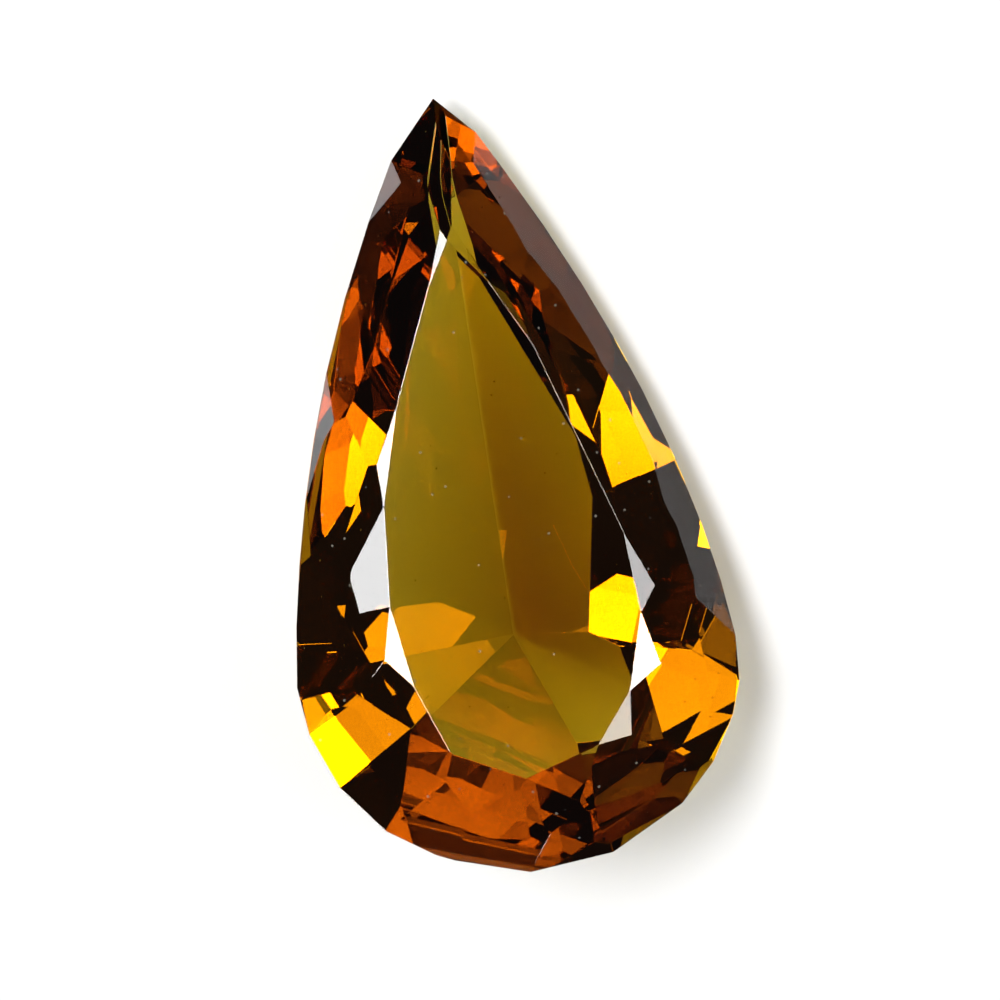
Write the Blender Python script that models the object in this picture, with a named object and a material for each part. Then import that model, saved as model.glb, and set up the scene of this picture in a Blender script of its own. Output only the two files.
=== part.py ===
"""A pear-shaped citrine, cut from a block one facet at a time and laid on one of its own facets.

The cutting frame is in millimetres: x to the right and y to the point as the table faces the viewer,
z up out of the table, with the origin at the girdle's top edge, under the middle of the round end.
"""
import math

import bmesh
import bpy
from mathutils import Matrix, Vector

partName = "citrine"
mmToMetre = 0.001

# Outline of the girdle, in mm.
halfWidth = 7.22          # from the middle of the round end to its widest point
roundDepth = 6.9          # from the widest line down to the bottom of the round end
taperLength = 18.2        # from the widest line up to the point
pointLean = 2.75          # how far the point leans to the left
leanPower = 1.2           # the lean grows a little faster than the height
taperStart = 0.27         # share of the half width lost in proportion to the height
taperEnd = 0.66           # share lost in proportion to the height squared

# Crown and girdle, in mm.
crownHeight = 1.39
girdleThickness = 0.19
starReach = 0.48          # how far a star facet's tip reaches from the table to the girdle
kiteSlope = 0.87          # slope of a kite facet, as a share of the straight slope to the girdle
kiteClear = 0.08          # share of the crown's height left below a kite facet
leastRun = 0.3            # a star tip nearer than this to a table corner doesn't set the kite's slope

# Pavilion, in mm and degrees.
culet = Vector((-0.14, 0.81, -6.17))
keelEnd = Vector((-2.66, 17.8, -1.54))
keelDipLeft = 38.5
keelDipRight = 33.5
roundFacets = ((-33.5, 35.0), (-100.0, 39.5), (-160.5, 36.5))    # heading and dip of each

# One row for each corner of the table, clockwise from the point: its place in mm, the turn of the rim
# outside it (0 point, 1 widest right, 2 bottom, 3 widest left), and the sector that it is cut in.
tableCorners = (
    (-2.30, 13.60, 0.000, "point"),
    (-0.97, 12.27, 0.120, "upperRight"),
    (0.49, 10.20, 0.330, "upperRight"),
    (1.59, 7.93, 0.520, "right"),
    (3.43, 4.14, 0.760, "right"),
    (3.98, 1.55, 0.955, "wideRight"),
    (3.63, -1.00, 1.165, "lowerRight"),
    (2.62, -2.75, 1.470, "lowerRight"),
    (0.26, -3.85, 1.965, "bottom"),
    (-2.17, -3.04, 2.405, "bottom"),
    (-3.37, -0.84, 2.770, "lowerLeft"),
    (-4.15, 1.72, 3.060, "wideLeft"),
    (-4.34, 4.99, 3.280, "left"),
    (-3.92, 8.26, 3.510, "longLeft"),
    (-2.91, 12.05, 3.780, "upperLeft"),
)

# Per sector: slope of the star facets as a share of the straight slope to the girdle, then the dip of
# the pavilion's main facets and of its lower girdle facets, in degrees.
sectors = {
    "point": (0.60, 46.5, 59.5),
    "upperRight": (0.62, 42.5, 47.5),
    "right": (0.61, 44.5, 55.5),
    "wideRight": (0.67, 48.0, 60.0),
    "lowerRight": (0.60, 42.5, 55.5),
    "bottom": (0.88, 45.5, 43.5),
    "lowerLeft": (0.72, 44.0, 65.0),
    "wideLeft": (0.81, 44.5, 56.5),
    "left": (0.60, 46.5, 52.5),
    "longLeft": (0.81, 49.0, 45.0),
    "upperLeft": (0.62, 48.0, 44.0),
}


def rimPoint(turn):
    """Point of the girdle's outline, on the z = 0 plane."""
    if 1 <= turn <= 3:
        angle = (turn - 1) * math.pi / 2
        return Vector((halfWidth * math.cos(angle), -roundDepth * math.sin(angle), 0))
    side = 1 if turn < 1 else -1
    height = abs(turn - (1 if turn < 1 else 3))
    width = halfWidth * (1 - taperStart * height - taperEnd * height ** 2)
    if height == 1:
        width = 0
    return Vector((side * width - pointLean * height ** leanPower, taperLength * height, 0))


def outwardOf(start, end):
    """Level unit vector to the left of the way from start to end, which is outward going clockwise."""
    way = end - start
    return Vector((-way.y, way.x, 0)).normalized()


def crownNormal(outward, slope):
    """Normal of a crown facet that falls by slope for each mm outward."""
    return (outward * slope + Vector((0, 0, 1))).normalized()


def pavilionNormal(outward, dip):
    """Normal of a pavilion facet that leans dip degrees from level."""
    angle = math.radians(dip)
    return outward * math.sin(angle) - Vector((0, 0, math.cos(angle)))


def facetThrough(a, b, c):
    """Plane through three points, with its normal away from the stone's middle."""
    normal = (b - a).cross(c - a).normalized()
    if normal.dot(a - Vector((0, 0, -1))) < 0:
        normal.negate()
    return a, normal


def crownAndGirdle():
    """Facets above and at the girdle, and the lower girdle facets, each as a point and a normal."""
    count = len(tableCorners)
    lift = Vector((0, 0, crownHeight))
    drop = Vector((0, 0, -girdleThickness))
    corners = [Vector((x, y, crownHeight)) for x, y, turn, sector in tableCorners]
    turns = [row[2] for row in tableCorners] + [4.0]
    mains = [rimPoint(turn) for turn in turns[:-1]]
    middles = [rimPoint((turns[i] + turns[i + 1]) / 2) for i in range(count)]
    facets = [(lift, Vector((0, 0, 1)))]
    edgeOut = []
    starTips = []

    for i in range(count):
        corner = corners[i]
        following = corners[(i + 1) % count]
        edge = (corner + following) / 2
        outward = outwardOf(corner, following)
        reach = (middles[i] - edge).dot(outward)
        slope = sectors[tableCorners[i][3]][0] * crownHeight / reach
        tip = edge + (middles[i] - edge) * starReach
        tip.z = crownHeight - slope * (tip - edge).dot(outward)
        facets.append((corner, crownNormal(outward, slope)))
        edgeOut.append(outward)
        starTips.append(tip)

    for i in range(count):
        outward = (edgeOut[i - 1] + edgeOut[i]).normalized()
        reach = (mains[i] - corners[i]).dot(outward)
        slopes = []
        for tip in (starTips[i - 1], starTips[i]):
            run = (tip - corners[i]).dot(outward)
            if run > leastRun:
                slopes.append((crownHeight - tip.z) / run)
        slope = sum(slopes) / len(slopes) if slopes else 0
        slope = max(slope, kiteSlope * crownHeight / reach)
        slope = min(slope, (1 - kiteClear) * crownHeight / reach)
        facets.append((corners[i], crownNormal(outward, slope)))

    for i in range(count):
        lowerDip = sectors[tableCorners[i][3]][2]
        for start, end in ((mains[i], middles[i]), (middles[i], mains[(i + 1) % count])):
            outward = outwardOf(start, end)
            facets.append(facetThrough(start, end, starTips[i]))
            facets.append((start, outward))
            facets.append((start + drop, pavilionNormal(outward, lowerDip)))

    for i in range(count):
        outward = outwardOf(middles[i - 1], middles[i])
        facets.append((mains[i] + drop, pavilionNormal(outward, sectors[tableCorners[i][3]][1])))
    return facets


def keelFacet(side, dip):
    """The long facet on one side of the keel (1 left, -1 right), holding the keel line."""
    keel = keelEnd - culet
    level = Vector((keel.x, keel.y, 0))
    rise = keel.z / level.length
    level.normalize()
    across = Vector((-level.y, level.x, 0)) * side
    lean = math.sqrt(math.tan(math.radians(dip)) ** 2 - rise ** 2)
    return culet, (across * lean + level * rise - Vector((0, 0, 1))).normalized()


def roundEndFacets():
    """The large facets that fan out from the culet under the round end."""
    facets = []
    for heading, dip in roundFacets:
        angle = math.radians(heading)
        facets.append((culet, pavilionNormal(Vector((math.cos(angle), math.sin(angle), 0)), dip)))
    return facets


def cutFacet(stone, point, normal):
    """Saws off what lies outside the plane and closes the cut with one flat face."""
    geometry = stone.verts[:] + stone.edges[:] + stone.faces[:]
    cut = bmesh.ops.bisect_plane(stone, geom=geometry, dist=1e-6, plane_co=point, plane_no=normal,
                                 clear_outer=True)
    edges = [item for item in cut["geom_cut"] if isinstance(item, bmesh.types.BMEdge) and item.is_boundary]
    if edges:
        bmesh.ops.contextual_create(stone, geom=edges)


def restOn(stone, restNormal):
    """Turns the stone to stand on the facet with this normal, with its table toward -Y, and centres it."""
    turn = restNormal.rotation_difference(Vector((0, 0, -1))).to_matrix()
    table = turn @ Vector((0, 0, 1))
    yaw = math.atan2(-1, 0) - math.atan2(table.y, table.x)
    turn = Matrix.Rotation(yaw, 3, "Z") @ turn
    bmesh.ops.rotate(stone, verts=stone.verts, cent=Vector(), matrix=turn)
    lows = Vector([min(vert.co[axis] for vert in stone.verts) for axis in range(3)])
    highs = Vector([max(vert.co[axis] for vert in stone.verts) for axis in range(3)])
    middle = (lows + highs) / 2
    middle.z = lows.z
    bmesh.ops.translate(stone, verts=stone.verts, vec=-middle)


def citrineMaterial():
    material = bpy.data.materials.new("polished citrine")
    material.use_nodes = True
    shader = material.node_tree.nodes["Principled BSDF"]
    shader.inputs["Base Color"].default_value = (0.62, 0.33, 0.02, 1)
    shader.inputs["Roughness"].default_value = 0.02
    shader.inputs["Metallic"].default_value = 0
    shader.inputs["IOR"].default_value = 1.55
    shader.inputs["Transmission Weight"].default_value = 1
    return material


def main():
    for leftOver in list(bpy.data.objects):
        bpy.data.objects.remove(leftOver)
    collection = bpy.data.collections.new(partName)
    bpy.context.scene.collection.children.link(collection)

    stone = bmesh.new()
    bmesh.ops.create_cube(stone, size=60)
    restFacet = keelFacet(-1, keelDipRight)
    for point, normal in crownAndGirdle():
        cutFacet(stone, point, normal)
    cutFacet(stone, *keelFacet(1, keelDipLeft))
    cutFacet(stone, *restFacet)
    for point, normal in roundEndFacets():
        cutFacet(stone, point, normal)

    restOn(stone, restFacet[1])
    bmesh.ops.scale(stone, verts=stone.verts, vec=Vector((1, 1, 1)) * mmToMetre)
    bmesh.ops.recalc_face_normals(stone, faces=stone.faces)

    mesh = bpy.data.meshes.new(partName)
    stone.to_mesh(mesh)
    stone.free()
    mesh.materials.append(citrineMaterial())
    collection.objects.link(bpy.data.objects.new(partName, mesh))


main()
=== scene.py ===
import math

import bmesh
import bpy
import numpy as np
from mathutils import Matrix, Vector


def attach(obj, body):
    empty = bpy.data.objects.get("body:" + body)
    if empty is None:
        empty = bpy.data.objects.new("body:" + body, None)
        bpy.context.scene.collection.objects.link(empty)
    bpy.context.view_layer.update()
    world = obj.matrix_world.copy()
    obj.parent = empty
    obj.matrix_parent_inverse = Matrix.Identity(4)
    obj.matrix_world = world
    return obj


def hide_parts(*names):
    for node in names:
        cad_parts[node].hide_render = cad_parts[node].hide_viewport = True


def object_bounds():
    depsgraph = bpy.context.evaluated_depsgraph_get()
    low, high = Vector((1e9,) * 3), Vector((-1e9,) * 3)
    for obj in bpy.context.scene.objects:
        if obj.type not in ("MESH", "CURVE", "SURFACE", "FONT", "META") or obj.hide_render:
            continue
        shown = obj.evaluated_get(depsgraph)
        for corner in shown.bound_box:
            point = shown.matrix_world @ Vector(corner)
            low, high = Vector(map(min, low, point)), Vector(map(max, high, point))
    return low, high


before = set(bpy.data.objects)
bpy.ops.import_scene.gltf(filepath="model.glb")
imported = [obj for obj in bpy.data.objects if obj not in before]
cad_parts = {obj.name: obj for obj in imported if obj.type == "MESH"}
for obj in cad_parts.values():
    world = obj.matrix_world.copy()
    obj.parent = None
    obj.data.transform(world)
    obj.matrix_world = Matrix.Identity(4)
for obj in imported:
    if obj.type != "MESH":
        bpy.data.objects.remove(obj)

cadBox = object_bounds()
root = "root"
mm = 0.001


# sRGB hex to linear red, green, blue and alpha.
def fromHex(text):
    values = np.array([int(text[i:i + 2], 16) for i in (1, 3, 5)]) / 255
    linear = np.where(values <= 0.04045, values / 12.92, ((values + 0.055) / 1.055) ** 2.4)
    return (*linear.tolist(), 1.0)


# Adds a shader node. A setting is a socket's value or one of the node's own properties, a link names
# the output that feeds a socket, and a socket goes by its name or its number.
def addNode(tree, kind, settings, links):
    node = tree.nodes.new("ShaderNode" + kind)
    for name, value in settings.items():
        if isinstance(name, int) or name in node.inputs:
            node.inputs[name].default_value = value
        else:
            setattr(node, name, value)
    for name, source in links.items():
        tree.links.new(source, node.inputs[name])
    return node


tableSearch = {
    "normalDigits": 3,                  # triangles whose normals agree to this are one facet
    "cornerDigits": 7,                  # corners that agree to this, in metres, are one corner
    "leastUp": 0.3,                     # z of a facet's normal, from which the facet faces up
}


# The table is the largest facet that faces up: its normal and its corners.
def findTable(stone):
    faces = stone.data.polygons
    normals = np.array([face.normal for face in faces])
    areas = np.array([face.area for face in faces])
    keys, member = np.unique(normals.round(tableSearch["normalDigits"]), axis=0, return_inverse=True)
    member = member.ravel()
    total = np.bincount(member, areas)
    table = int(np.argmax(np.where(keys[:, 2] > tableSearch["leastUp"], total, 0)))
    triangles = [faces[int(i)] for i in np.nonzero(member == table)[0]]
    corners = np.array([stone.data.vertices[v].co for face in triangles for v in face.vertices])
    corners = np.unique(corners.round(tableSearch["cornerDigits"]), axis=0)
    return Vector(normals[member == table].mean(axis=0)).normalized(), corners


# The camera looks straight down on the table, and two of the table's corners land on these pixels.
shot = {
    "pictureSize": 1000,                # pixels
    "tablePointPixel": (447, 240),      # the table's corner nearest the stone's point
    "tableBottomPixel": (526, 779),     # its corner at the round end
    "distance": 1.0,                    # metres from the table, so the view is nearly parallel
    "sensor": 36.0,                     # mm
    "farthest": 10,                     # metres
}


# Picture axes in the world: right and up from the two table corners, back towards the camera, then
# the point in the middle of the picture and the picture's width.
def pictureAxes(stone):
    back, corners = findTable(stone)
    gaps = np.linalg.norm(corners[:, None] - corners[None], axis=2)
    ends = [Vector(corners[i]) for i in np.unravel_index(np.argmax(gaps), gaps.shape)]
    point, bottom = sorted(ends, key=lambda corner: -corner.x)
    top = Vector(shot["tablePointPixel"])
    low = Vector(shot["tableBottomPixel"])
    perPixel = (point - bottom).length / (top - low).length
    inPicture = math.atan2(low.y - top.y, top.x - low.x)
    along = (point - bottom).normalized()
    right = Matrix.Rotation(-inPicture, 3, back) @ along
    up = back.cross(right)
    centre = Vector((shot["pictureSize"] / 2,) * 2) - top
    aim = point + (right * centre.x - up * centre.y) * perPixel
    return right, up, back, aim, perPixel * shot["pictureSize"]


def makeCamera(right, up, back, aim, span):
    data = bpy.data.cameras.new("camera")
    data.sensor_width = shot["sensor"]
    data.lens = shot["sensor"] * shot["distance"] / span
    data.clip_end = shot["farthest"]
    camera = bpy.data.objects.new("camera", data)
    bpy.context.scene.collection.objects.link(camera)
    turn = Matrix((right, up, back)).transposed().to_4x4()
    camera.matrix_world = Matrix.Translation(aim + back * shot["distance"]) @ turn
    bpy.context.scene.camera = camera


# Lamps as seen from the stone, in degrees: heading 0 is the picture's right and 90 its top, off is
# the angle from the camera's line, half is the lamp's angular radius. Glow is its radiance against
# a white of 1.
lamps = {
    "keyRight": {"heading": -3.2, "off": 23.7, "half": 17.6, "glow": 17.4},
    "keyLeft": {"heading": 178.2, "off": 26.7, "half": 17.7, "glow": 35.7},
    "wallLeft": {"heading": 160.7, "off": 93.5, "half": 23.9, "glow": 13.1},
    "topSpot": {"heading": 98.5, "off": 61.9, "half": 5.9, "glow": 30.4},
    "lowSpot": {"heading": -130.1, "off": 108.3, "half": 7.5, "glow": 19.6},
    "leftSpot": {"heading": -141.8, "off": 80.3, "half": 9.1, "glow": 25.3},
    "topPin": {"heading": 101.1, "off": 77.3, "half": 9.1, "glow": 30.7},
    "topCard": {"heading": 95.4, "off": 13.9, "half": 9.6, "glow": 7.9},
    "rightPin": {"heading": -2.9, "off": 35.0, "half": 6.7, "glow": 18.1},
    "backCard": {"heading": 85.9, "off": 100.7, "half": 11.8, "glow": 6.9},
    "frontSpot": {"heading": -91.7, "off": 61.0, "half": 7.4, "glow": 15.4},
}
lampDistance = 0.16                     # metres from the stone's middle
lampSpread = 60.0                       # degrees, so that each lights a pool round the stone


# A disc of radiance L gives L * pi * area as power, and a narrow spread brightens its axis by
# tan(s) / (tan(s) - s), with s half the spread.
def makeLamps(right, up, back):
    middle = Vector((0, 0, cadBox[1][2] / 2))
    slant = math.radians(lampSpread / 2)
    onAxis = math.tan(slant) / (math.tan(slant) - slant)
    for name, look in lamps.items():
        heading = math.radians(look["heading"])
        off = math.radians(look["off"])
        around = right * math.cos(heading) + up * math.sin(heading)
        way = around * math.sin(off) + back * math.cos(off)
        radius = lampDistance * math.tan(math.radians(look["half"]))
        data = bpy.data.lights.new(name, "AREA")
        data.shape = "DISK"
        data.size = 2 * radius
        data.spread = math.radians(lampSpread)
        data.energy = look["glow"] * math.pi * math.pi * radius ** 2 / onAxis
        lamp = bpy.data.objects.new(name, data)
        bpy.context.scene.collection.objects.link(lamp)
        turn = way.to_track_quat("Z", "Y").to_matrix().to_4x4()
        lamp.matrix_world = Matrix.Translation(middle + way * lampDistance) @ turn


floorLook = {
    "half": 0.6,                        # metres from its middle to a side
    "drop": 0.03 * mm,                  # below the rest facet, so that the two never share a plane
    "colour": "#9B9B9B",                # the lamps bring it up to white
    "roughness": 0.9,
}


# A board with matt paint, which gives no glare of its own.
def makeFloor():
    mesh = bpy.data.meshes.new("floor")
    corners = np.array([(-1, -1, 0), (1, -1, 0), (1, 1, 0), (-1, 1, 0)]) * floorLook["half"]
    corners[:, 2] = -floorLook["drop"]
    mesh.from_pydata(corners.tolist(), [], [(0, 1, 2, 3)])
    floor = bpy.data.objects.new("floor", mesh)
    bpy.context.scene.collection.objects.link(floor)
    material = bpy.data.materials.new("matt painted board")
    material.use_nodes = True
    shader = material.node_tree.nodes["Principled BSDF"]
    shader.inputs["Base Color"].default_value = fromHex(floorLook["colour"])
    shader.inputs["Roughness"].default_value = floorLook["roughness"]
    shader.inputs["Specular IOR Level"].default_value = 0
    mesh.materials.append(material)


wear = {
    "edge": 0.01,                       # mm taken off each facet's border
    "broadFacet": 0.3,                  # square mm, from which a facet's plane bounds the others
    "planeSlack": 0.002,                # mm that a point may stand over such a plane
    "sameCorner": 1e-4,                 # mm within which corners are merged
    "samePlane": 0.2,                   # degrees within which triangles are one facet
    "pointDigits": 5,                   # decimals of a mm that points are rounded to
}


# The same stone with its edges worn: each facet keeps its plane, its border moves in by the wear, and
# the hull of all these smaller facets closes the gaps with hair-thin faces. A facet too narrow to
# shrink is left to the hull, and a point that stands over a broad facet's plane is dropped.
def wornStone(stone):
    work = bmesh.new()
    work.from_mesh(stone.data)
    bmesh.ops.scale(work, verts=work.verts, vec=Vector((1, 1, 1)) / mm)
    bmesh.ops.remove_doubles(work, verts=work.verts, dist=wear["sameCorner"])
    bmesh.ops.dissolve_limit(work, angle_limit=math.radians(wear["samePlane"]),
                             verts=work.verts, edges=work.edges)
    facets = [face for face in work.faces if face.calc_area() > wear["edge"] * face.calc_perimeter()]
    sizes = np.array([face.calc_area() for face in facets])
    normals = np.array([face.normal for face in facets])
    reach = np.array([face.normal.dot(face.calc_center_median()) for face in facets])
    bmesh.ops.inset_individual(work, faces=facets, thickness=wear["edge"], use_even_offset=True)
    points = np.array([vert.co for face in facets for vert in face.verts])
    broad = sizes > wear["broadFacet"]
    inside = (points @ normals[broad].T <= reach[broad] + wear["planeSlack"]).all(axis=1)
    points = np.unique(points[inside].round(wear["pointDigits"]), axis=0)
    work.free()

    hull = bmesh.new()
    for point in points:
        hull.verts.new(point)
    made = bmesh.ops.convex_hull(hull, input=hull.verts)
    bmesh.ops.delete(hull, geom=made["geom_interior"], context="VERTS")
    bmesh.ops.recalc_face_normals(hull, faces=hull.faces)
    bmesh.ops.scale(hull, verts=hull.verts, vec=Vector((1, 1, 1)) * mm)
    mesh = bpy.data.meshes.new("citrine_stone")
    hull.to_mesh(mesh)
    hull.free()
    piece = bpy.data.objects.new("citrine_stone", mesh)
    bpy.context.scene.collection.objects.link(piece)
    print("worn stone,", len(facets), "facets,", len(mesh.polygons), "faces")
    return piece


polish = {
    "ior": 1.548,                       # quartz
    "absorption": (107.7, 180.7, 940.4),    # per metre in red, green and blue
    "girdleTop": 1.39,                  # mm from the table down to the girdle
    "girdleDepth": 0.19,                # mm
    "girdleRoughness": 0.22,            # ground, not polished
    "film": 0.004,                      # most roughness that a wiped facet keeps
    "filmSize": 1.6,                    # mm across a streak of it
    "filmDetail": 3.0,                  # finer octaves of its noise
    "filmSmear": 1.5,                   # how far the wiping drags the streaks
    "filmStart": 0.45,                  # noise at which the film starts
    "filmFull": 0.7,                    # noise at which it is thickest
    "speckGap": 0.34,                   # mm between the places where a speck may lie
    "speckRadius": 0.045,               # mm
    "speckCore": 0.5,                   # share of the radius that is covered completely
    "speckShare": 0.1,                  # share of those places that hold one
    "speckCover": 0.2,                  # share of the light that a speck catches
    "dust": "#8A8262",
}


# Citrine, a clear yellow quartz, sawn and polished on a wheel. The polish leaves mirror-flat facets
# that show the far facets in each other, the girdle is only ground and looks frosted, and a wiped
# stone keeps a thin film and faint specks of dust. Volume absorption takes off density times
# (1 - colour), so the strongest of the three values is the density.
def citrineMaterial(stone):
    tableNormal, corners = findTable(stone)
    girdleMiddle = polish["girdleTop"] + polish["girdleDepth"] / 2
    girdleLevel = float(np.dot(corners.mean(axis=0), tableNormal)) - girdleMiddle * mm
    material = bpy.data.materials.new("polished citrine")
    material.use_nodes = True
    tree = material.node_tree
    tree.nodes.clear()
    place = addNode(tree, "TexCoord", {}, {}).outputs["Object"]

    gap = polish["speckGap"] * mm
    radius = polish["speckRadius"] * mm / gap
    cells = addNode(tree, "TexVoronoi", {"feature": "F1", "Scale": 1 / gap}, {"Vector": place})
    near = addNode(tree, "MapRange", {"From Min": radius, "From Max": polish["speckCore"] * radius},
                   {"Value": cells.outputs["Distance"]})
    pick = addNode(tree, "SeparateColor", {}, {"Color": cells.outputs["Color"]})
    chosen = addNode(tree, "Math", {"operation": "LESS_THAN", 1: polish["speckShare"]},
                     {0: pick.outputs["Red"]})
    speck = addNode(tree, "Math", {"operation": "MULTIPLY"}, {0: near.outputs[0], 1: chosen.outputs[0]})

    level = addNode(tree, "VectorMath", {"operation": "DOT_PRODUCT", 1: tableNormal}, {0: place})
    girdle = addNode(tree, "Math", {"operation": "COMPARE", 1: girdleLevel,
                                    2: polish["girdleDepth"] / 2 * mm}, {0: level.outputs["Value"]})
    ground = addNode(tree, "MapRange", {"To Min": 0.0, "To Max": polish["girdleRoughness"]},
                     {"Value": girdle.outputs[0]})

    streaks = addNode(tree, "TexNoise", {"Scale": 1 / (polish["filmSize"] * mm),
                                         "Detail": polish["filmDetail"],
                                         "Distortion": polish["filmSmear"]}, {"Vector": place})
    film = addNode(tree, "MapRange", {"From Min": polish["filmStart"], "From Max": polish["filmFull"],
                                      "To Max": polish["film"]}, {"Value": streaks.outputs[0]})
    rough = addNode(tree, "Math", {"operation": "MAXIMUM"}, {0: film.outputs[0], 1: ground.outputs[0]})
    clear = addNode(tree, "Math", {"operation": "MULTIPLY_ADD", 1: -polish["speckCover"], 2: 1},
                    {0: speck.outputs[0]})
    tint = addNode(tree, "Mix", {"data_type": "RGBA", 6: (1, 1, 1, 1), 7: fromHex(polish["dust"])},
                   {0: speck.outputs[0]})

    strongest = max(polish["absorption"])
    passed = [1 - value / strongest for value in polish["absorption"]]
    surface = addNode(tree, "BsdfPrincipled", {"IOR": polish["ior"]},
                      {"Base Color": tint.outputs[2], "Roughness": rough.outputs[0],
                       "Transmission Weight": clear.outputs[0]})
    inside = addNode(tree, "VolumeAbsorption", {"Color": (*passed, 1), "Density": strongest}, {})
    addNode(tree, "OutputMaterial", {}, {"Surface": surface.outputs[0], "Volume": inside.outputs[0]})
    return material


studio = {
    "glow": 0.036,                      # the dim room's radiance against a white of 1
    "bounces": 24,                      # light crosses the stone many times before it comes out
}


def setLook():
    scene = bpy.context.scene
    world = bpy.data.worlds.new("dim studio")
    world.use_nodes = True
    background = world.node_tree.nodes["Background"]
    background.inputs["Color"].default_value = (studio["glow"],) * 3 + (1,)
    background.inputs["Strength"].default_value = 1
    scene.world = world
    scene.view_settings.view_transform = "Standard"
    scene.view_settings.look = "None"
    scene.cycles.max_bounces = studio["bounces"]
    scene.cycles.glossy_bounces = studio["bounces"]
    scene.cycles.transmission_bounces = studio["bounces"]


stone = bpy.data.objects["citrine"]
right, up, back, aim, span = pictureAxes(stone)
print("camera over the table, picture", round(span / mm, 2), "mm wide")
makeCamera(right, up, back, aim, span)
makeLamps(right, up, back)
makeFloor()
print("stage made,", len(lamps), "lamps and the floor")

piece = wornStone(stone)
piece.data.materials.append(citrineMaterial(stone))
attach(piece, root)
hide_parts("citrine")
setLook()
print("stone finished")
